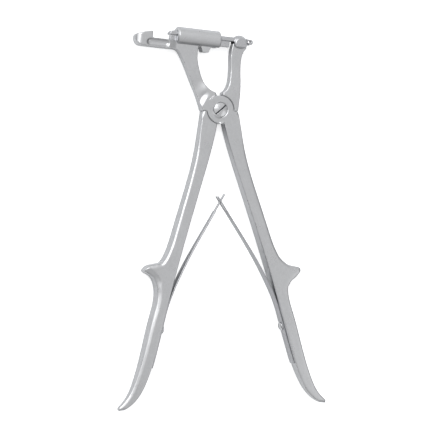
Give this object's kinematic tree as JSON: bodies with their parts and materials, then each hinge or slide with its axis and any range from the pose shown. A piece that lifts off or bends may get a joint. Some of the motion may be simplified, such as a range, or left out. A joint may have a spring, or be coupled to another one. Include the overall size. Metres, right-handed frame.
{
  "type": "rib shears",
  "caption": "Guillotine rib shears: long sprung handles on one screw joint drive a sliding cutter through a round guide sleeve into a fixed hooked jaw.",
  "frame": {"origin": "on the pivot axis, in the flat back face of the joint", "axes": "+Y from the grips to the jaws, +Z towards the screw head (the front), +X to the side of the driving leg"},
  "size_m": [0.1935, 0.3342, 0.0163],
  "materials": {
    "satin_steel": "satin",
    "sleeve_steel": "satin",
    "cutter_steel": "ground",
    "screw_steel": "turned",
    "spring_steel": "satin"
  },
  "bodies": {
    "fixed_jaw": {"fixed_jaw_lever": "satin_steel", "guide_sleeve": "sleeve_steel", "guide_screw": "screw_steel", "fork_spring": "spring_steel", "fork_spring_screw": "screw_steel"},
    "driver": {"driver_lever": "satin_steel", "pivot_screw": "screw_steel", "tongue_spring": "spring_steel", "tongue_spring_screw": "screw_steel"},
    "cutter": {"cutter_slide": "cutter_steel"}
  },
  "joints": [
    {"name": "handle_pivot", "type": "hinge", "parent": "fixed_jaw", "child": "driver", "pos_m": [0, 0, 0.00525], "axis": [0, 0, 1], "range_deg": [0, 18], "stiffness_Nm_per_rad": 6, "springref_deg": -9.74, "deforming": ["fork_spring", "tongue_spring"]},
    {"name": "cutter_travel", "type": "slide", "parent": "fixed_jaw", "child": "cutter", "axis": [-0.9962, 0.0872, 0], "range_m": [0, 0.0196]}
  ],
  "couplings": [
    {"joint": "cutter_travel", "follows": "handle_pivot", "m_per_rad": 0.062}
  ]
}
